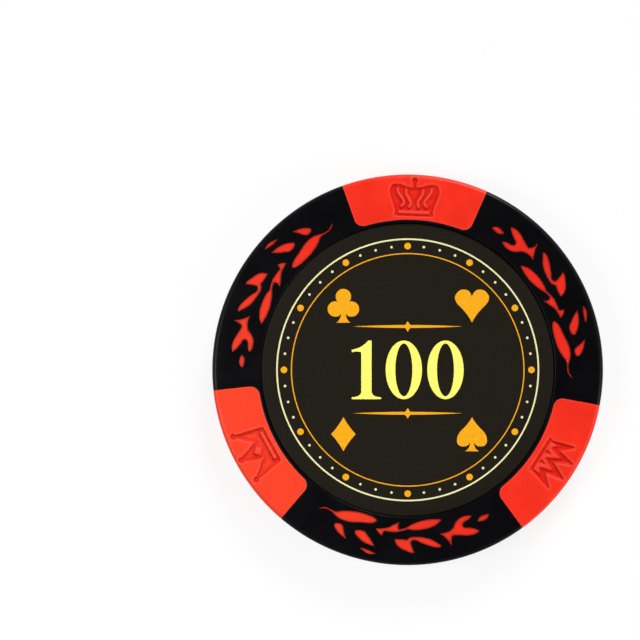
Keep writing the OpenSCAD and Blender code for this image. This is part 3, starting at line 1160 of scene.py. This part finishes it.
class Finish:
    """A node material with one principled shader, and short ways to add to it.

    Its tone and roughness are what a program shows that reads no further nodes.
    """

    def __init__(self, name, tone, roughness, specular, metallic=0.0):
        self.material = bpy.data.materials.new(name)
        self.material.use_nodes = True
        self.tree = self.material.node_tree
        self.shader = self.tree.nodes["Principled BSDF"]
        self.shader.inputs["Base Color"].default_value = (*tone, 1)
        self.shader.inputs["Roughness"].default_value = roughness
        self.shader.inputs["Specular IOR Level"].default_value = specular
        self.shader.inputs["Metallic"].default_value = metallic
        self.place = self.add("ShaderNodeTexCoord").outputs["Object"]

    def add(self, kind, **values):
        """A new node, with its inputs set or linked by name."""
        node = self.tree.nodes.new(kind)
        for key, value in values.items():
            if hasattr(node, key):
                setattr(node, key, value)
            else:
                self.feed(node.inputs[key.replace("_", " ")], value)
        return node

    def feed(self, socket, value):
        """Links another node's socket to an input, or sets it to a value."""
        if isinstance(value, bpy.types.NodeSocket):
            self.tree.links.new(value, socket)
        else:
            socket.default_value = value

    def noise(self, size, detail, stretch=None):
        """Noise whose lumps are about a size across, in metres."""
        place = self.place
        if stretch:
            place = self.add("ShaderNodeMapping", Vector=place, Scale=stretch).outputs["Vector"]
        node = self.add("ShaderNodeTexNoise", Vector=place, Scale=1 / size, Detail=detail)
        return node.outputs["Fac"]

    def ranged(self, value, start, end, low, high):
        """A value that goes from low to high while another goes from its start to its end."""
        node = self.add(
            "ShaderNodeMapRange", Value=value, From_Min=start, From_Max=end, To_Min=low, To_Max=high
        )
        return node.outputs["Result"]

    def share(self, value, start, end, most):
        """A share that rises from none to the most while a value goes from its start to its end."""
        return self.ranged(value, start, end, 0, most)

    def spread(self, noise, low, high):
        """A noise brought to a range."""
        return self.ranged(noise, NOISE_LOW, NOISE_HIGH, low, high)

    def mixed(self, share, a, b):
        """A colour between two, each a triple or a socket."""
        node = self.add("ShaderNodeMix", data_type="RGBA", Factor=share)
        for number, tone in ((MIX_A, a), (MIX_B, b)):
            is_socket = isinstance(tone, bpy.types.NodeSocket)
            self.feed(node.inputs[number], tone if is_socket else (*tone, 1))
        return node.outputs[MIX_OUT]

    def mottled(self, noise, tone, darkest, lightest):
        """A tone that a noise makes darker and lighter, by factors."""
        return self.mixed(self.spread(noise, 0, 1), scaled(tone, darkest), scaled(tone, lightest))

    def reckoned(self, operation, a, b):
        """The sum or product of two values, kept between 0 and 1."""
        node = self.add("ShaderNodeMath", operation=operation, use_clamp=True)
        self.feed(node.inputs[0], a)
        self.feed(node.inputs[1], b)
        return node.outputs[0]

    def towards(self, way):
        """How far a point lies from the middle of the chip in one direction, in metres."""
        node = self.add("ShaderNodeVectorMath", operation="DOT_PRODUCT")
        self.feed(node.inputs[0], self.place)
        self.feed(node.inputs[1], way)
        return node.outputs["Value"]

    def point_value(self, name):
        """One of the values that the mesh holds at its points."""
        return self.add("ShaderNodeAttribute", attribute_name=name).outputs["Fac"]

    def colour(self, socket):
        """Links a colour to the shader."""
        self.feed(self.shader.inputs["Base Color"], socket)

    def roughness(self, socket):
        """Links a roughness to the shader."""
        self.feed(self.shader.inputs["Roughness"], socket)

    def bump(self, height, depth, strength):
        """Adds relief of a depth in metres."""
        node = self.add("ShaderNodeBump", Height=height, Distance=depth, Strength=strength)
        self.feed(self.shader.inputs["Normal"], node.outputs["Normal"])

    def moulded(self, flow, grain):
        """Gives the satin surface of a moulding, with a grain of a size in metres."""
        self.roughness(self.spread(flow, low=0.28, high=0.36))
        self.bump(self.noise(grain, detail=2), depth=0.006 * MM, strength=0.5)

    def pale_to_the_eye(self, share):
        """Mixes white into what is seen of a surface, also in gloss or glass, so its shadows stay faint."""
        path = self.add("ShaderNodeLightPath").outputs
        seen = self.reckoned("ADD", path["Is Camera Ray"], path["Is Glossy Ray"])
        seen = self.reckoned("ADD", seen, path["Is Transmission Ray"])
        mix = self.add("ShaderNodeMixShader")
        self.feed(mix.inputs[0], self.reckoned("MULTIPLY", seen, share))
        self.feed(mix.inputs[1], self.shader.outputs[0])
        self.feed(mix.inputs[2], self.add("ShaderNodeEmission").outputs[0])
        self.feed(self.tree.nodes["Material Output"].inputs["Surface"], mix.outputs[0])


def red_plastic():
    """Satin red composite: flow marks, rubbed edges, dark flash, dust; painted light, highlights, shade."""
    held = bpy.context.scene.chip_colours
    finish = Finish("red_plastic", held.red, roughness=0.32, specular=0.12)
    flow = finish.noise(2.2 * MM, detail=3)
    # Painted light: red lighter and more orange towards the lower left block, as if lit more
    lit_side = finish.share(finish.towards(LIT_SIDE_WAY), LIT_SIDE_START, LIT_SIDE_FULL, most=0.85)
    # Rubbing of the rim, and painted highlights on the crowns' lips and the blocks' edges
    wear = finish.share(finish.point_value("wear"), 0, 1, most=0.3)
    flash = finish.share(finish.point_value("flash"), 0, 1, most=0.95)
    # Painted shade in the crowns' sunk corners, broken into patches
    patches = finish.spread(finish.noise(0.7 * MM, detail=2), low=0.5, high=0.8)
    grime = finish.reckoned("MULTIPLY", finish.point_value("grime"), patches)
    dust = finish.share(finish.noise(DUST, detail=1), start=0.72, end=0.8, most=0.4)
    tone = finish.mottled(flow, held.red, darkest=0.93, lightest=1.06)
    # Laid over the red: painted light on one side, rubbing with painted highlights, flash, painted shade,
    # dust
    for share, laid_over in (
        (lit_side, held.red_lit_side),
        (wear, held.red_worn_and_highlit),
        (flash, held.red_flash),
        (grime, held.grime),
        (dust, held.red_dusty),
    ):
        tone = finish.mixed(share, tone, laid_over)
    finish.colour(tone)
    finish.moulded(flow, grain=0.11 * MM)
    return finish.material


def black_plastic():
    """Satin black composite: flow marks, a little dust, paler at the rubbed rim and painted highlights."""
    held = bpy.context.scene.chip_colours
    finish = Finish("black_plastic", held.black, roughness=0.32, specular=0.11)
    flow = finish.noise(2.8 * MM, detail=3)
    # Rubbing of the rim, and painted highlights beside the blocks' edges
    wear = finish.share(finish.point_value("wear"), 0, RIM_WEAR, most=0.3)
    dust = finish.share(finish.noise(DUST, detail=1), start=0.76, end=0.84, most=0.5)
    tone = finish.mottled(flow, held.black, darkest=0.85, lightest=1.2)
    tone = finish.mixed(wear, tone, held.black_worn_and_highlit)
    finish.colour(finish.mixed(dust, tone, held.black_dusty))
    finish.moulded(flow, grain=0.12 * MM)
    return finish.material


def printed_film(ink):
    """Matt printed film under its laminate: mottled ink and a faint orange-peel."""
    tone = getattr(bpy.context.scene.chip_colours, ink)
    finish = Finish(f"{ink}_ink", tone, roughness=0.45, specular=0.04)
    mottle = finish.noise(0.35 * MM, detail=3)
    finish.colour(finish.mottled(mottle, tone, darkest=0.93, lightest=1.05))
    finish.roughness(finish.spread(mottle, low=0.4, high=0.5))
    finish.bump(finish.noise(0.5 * MM, detail=1), depth=0.004 * MM, strength=0.4)
    return finish.material


def rolled_steel():
    """Cold-rolled steel: fine rolling lines and a faint haze of oil."""
    tone = bpy.context.scene.chip_colours.steel
    finish = Finish("rolled_steel", tone, roughness=0.34, specular=0.5, metallic=1.0)
    lines = finish.noise(0.5 * MM, detail=3, stretch=(0.03, 1, 1))
    haze = finish.noise(6 * MM, detail=2)
    finish.colour(finish.mottled(haze, tone, darkest=0.85, lightest=1.1))
    finish.roughness(finish.spread(lines, low=0.28, high=0.42))
    finish.bump(lines, depth=0.003 * MM, strength=0.5)
    return finish.material


def adhesive_film():
    """Honey-coloured adhesive with fine streaks from its coating."""
    tone = bpy.context.scene.chip_colours.adhesive
    finish = Finish("adhesive_film", tone, roughness=0.5, specular=0.4)
    streaks = finish.noise(0.8 * MM, detail=3, stretch=(0.08, 1, 1))
    finish.colour(finish.mottled(streaks, tone, darkest=0.85, lightest=1.1))
    finish.roughness(finish.spread(streaks, low=0.42, high=0.6))
    finish.bump(streaks, depth=0.003 * MM, strength=0.5)
    return finish.material


def pale_paint():
    """Matt pale paint of the floor, mottled a little."""
    finish = Finish("pale_floor", (0.93, 0.93, 0.93), roughness=0.8, specular=0.1)
    mottle = finish.noise(60 * MM, detail=2)
    finish.colour(finish.mixed(mottle, (0.92, 0.92, 0.92), (0.94, 0.94, 0.94)))
    finish.pale_to_the_eye(share=0.85)
    return finish.material


def dress_node(name, material):
    """Gives a CAD node that stays in view a material of its own."""
    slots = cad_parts[name].data.materials
    slots.clear()
    slots.append(material)


# Stage


# Reach of the floor each way, and its gap under the chip, in metres
FLOOR_REACH, FLOOR_GAP = 1.6, 0.01 * MM
# Places and widths of the lamps, in metres. Each faces the chip
LAMPS = {
    "key": ((0.24, 0.84, 0.5), 0.4),
    "side": ((-0.13, -0.03, 0.17), 0.12),
    "fill": ((0.21, -0.07, 0.16), 0.14),
    "rim": ((0.17, -0.15, 0.02), 0.05),
}
# Greys of the room, by height over the horizon as a share of straight up
ROOM_GREYS = ((0, 0.95), (0.12, 0.4), (0.5, 0.06))
# Width of the camera's sensor in millimetres, and the nearest that it sees, in metres
SENSOR, NEAREST = 36, 0.01


def build_floor():
    """A wide flat floor just under the chip."""
    corners = [(FLOOR_REACH * x, FLOOR_REACH * y, 0) for x, y in ((-1, -1), (1, -1), (1, 1), (-1, 1))]
    mesh = bpy.data.meshes.new("floor")
    mesh.from_pydata(corners, [], [range(len(corners))])
    mesh.materials.append(pale_paint())
    floor = bpy.data.objects.new("floor", mesh)
    floor.location.z = -FLOOR_GAP
    bpy.context.scene.collection.objects.link(floor)


def add_lamp(name, place, width, power):
    """A round soft lamp at a place in metres, facing the chip."""
    data = bpy.data.lights.new(name, "AREA")
    data.shape = "DISK"
    data.size = width
    data.energy = power
    lamp = bpy.data.objects.new(name, data)
    lamp.location = place
    lamp.rotation_euler = (-Vector(place)).to_track_quat("-Z", "Y").to_euler()
    lamp.visible_camera = False
    bpy.context.scene.collection.objects.link(lamp)


def light_room():
    """A room that is pale round the horizon and dark overhead, so that the black stays black."""
    world = bpy.data.worlds.new("studio")
    bpy.context.scene.world = world
    world.use_nodes = True
    tree = world.node_tree
    place = tree.nodes.new("ShaderNodeTexCoord")
    split = tree.nodes.new("ShaderNodeSeparateXYZ")
    ramp = tree.nodes.new("ShaderNodeValToRGB")
    tree.links.new(place.outputs["Generated"], split.inputs["Vector"])
    tree.links.new(split.outputs["Z"], ramp.inputs["Fac"])
    tree.links.new(ramp.outputs["Color"], tree.nodes["Background"].inputs["Color"])
    shades = ramp.color_ramp.elements
    shades.remove(shades[-1])
    for height, grey in ROOM_GREYS:
        shade = shades.new(height) if height else shades[0]
        shade.color = (grey, grey, grey, 1)


def place_camera():
    """A camera square over the face, framed as the chip is to be seen."""
    held = bpy.context.scene.chip_stage
    data = bpy.data.cameras.new("camera")
    data.lens = held.lens
    data.sensor_width = SENSOR
    data.clip_start = NEAREST
    camera = bpy.data.objects.new("camera", data)
    right = Vector((math.cos(held.roll), math.sin(held.roll), 0))
    up = Vector((-math.sin(held.roll), math.cos(held.roll), 0))
    away = held.picture_width * held.lens / SENSOR
    height = Vector((0, 0, measured().top * MM + away))
    camera.location = height - held.chip_right * right + held.chip_down * up
    camera.rotation_euler = (0, 0, held.roll)
    bpy.context.scene.collection.objects.link(camera)
    bpy.context.scene.camera = camera


# Operators, panel and registration


class CHIP_OT_mould(bpy.types.Operator):
    """Moulds the black body and the red core"""

    bl_idname = "poker_chip.mould"
    bl_label = "Mould body and core"

    def execute(self, context):
        # The settings may have changed since these were worked out
        for worked_out in (rim_angles, face_sheet, side_band):
            worked_out.cache_clear()
        for build, node, material in (
            (build_black, "black_body", black_plastic),
            (build_red, "red_core", red_plastic),
        ):
            piece = build()
            piece.data.materials.append(material())
            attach(piece, "root")
            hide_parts(node)
        return {"FINISHED"}


class CHIP_OT_dress_inside(bpy.types.Operator):
    """Gives the slug and the adhesive films their finish"""

    bl_idname = "poker_chip.dress_inside"
    bl_label = "Finish slug and adhesive"

    def execute(self, context):
        dress_node("steel_slug", rolled_steel())
        adhesive = adhesive_film()
        dress_node("front_adhesive", adhesive)
        dress_node("back_adhesive", adhesive)
        return {"FINISHED"}


class CHIP_OT_print_labels(bpy.types.Operator):
    """Prints the front and the back label"""

    bl_idname = "poker_chip.print_labels"
    bl_label = "Print labels"

    def execute(self, context):
        films = [printed_film(ink) for ink in INKS]
        for side in ("front", "back"):
            piece, inks = build_label(f"{side}_print")
            mesh = piece.data
            for film in films:
                mesh.materials.append(film)
            plain = [INKS.index("film")] * (len(mesh.polygons) - len(inks))
            mesh.polygons.foreach_set("material_index", inks + plain)
            if side == "back":
                mesh.transform(turn_over_matrix())
            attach(piece, "root")
            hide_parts(f"{side}_label", f"{side}_laminate")
        return {"FINISHED"}


class CHIP_OT_stage(bpy.types.Operator):
    """Sets floor, lamps, room and camera"""

    bl_idname = "poker_chip.stage"
    bl_label = "Set the stage"

    def execute(self, context):
        build_floor()
        light_room()
        for name, (place, width) in LAMPS.items():
            add_lamp(f"{name}_lamp", place, width, getattr(context.scene.chip_stage, f"{name}_power"))
        place_camera()
        context.scene.view_settings.view_transform = "Standard"
        return {"FINISHED"}


class CHIP_PT_panel(bpy.types.Panel):
    """Steps and settings of the poker chip"""

    bl_idname = "CHIP_PT_panel"
    bl_label = "Poker Chip"
    bl_space_type = "VIEW_3D"
    bl_region_type = "UI"
    bl_category = "Poker Chip"

    def draw(self, context):
        for step in STEPS:
            self.layout.operator(step.bl_idname)
        for name in GROUPS:
            box = self.layout.box()
            group = getattr(context.scene, name)
            for key in setting_names(group):
                box.prop(group, key)


GROUPS = {
    "chip_moulding": ChipMouldingSettings,
    "chip_colours": ChipColourSettings,
    "chip_print": LabelPrintSettings,
    "chip_stage": StageSettings,
}
STEPS = (CHIP_OT_mould, CHIP_OT_dress_inside, CHIP_OT_print_labels, CHIP_OT_stage)


def register():
    for cls in (*GROUPS.values(), *STEPS, CHIP_PT_panel):
        bpy.utils.register_class(cls)
    for name, group in GROUPS.items():
        setattr(bpy.types.Scene, name, PointerProperty(type=group))


def unregister():
    for name in GROUPS:
        delattr(bpy.types.Scene, name)
    for cls in (CHIP_PT_panel, *reversed(STEPS), *reversed(GROUPS.values())):
        bpy.utils.unregister_class(cls)


def main():
    register()
    bpy.ops.poker_chip.mould()
    bpy.ops.poker_chip.dress_inside()
    bpy.ops.poker_chip.print_labels()
    bpy.ops.poker_chip.stage()


if __name__ == "__main__":
    main()
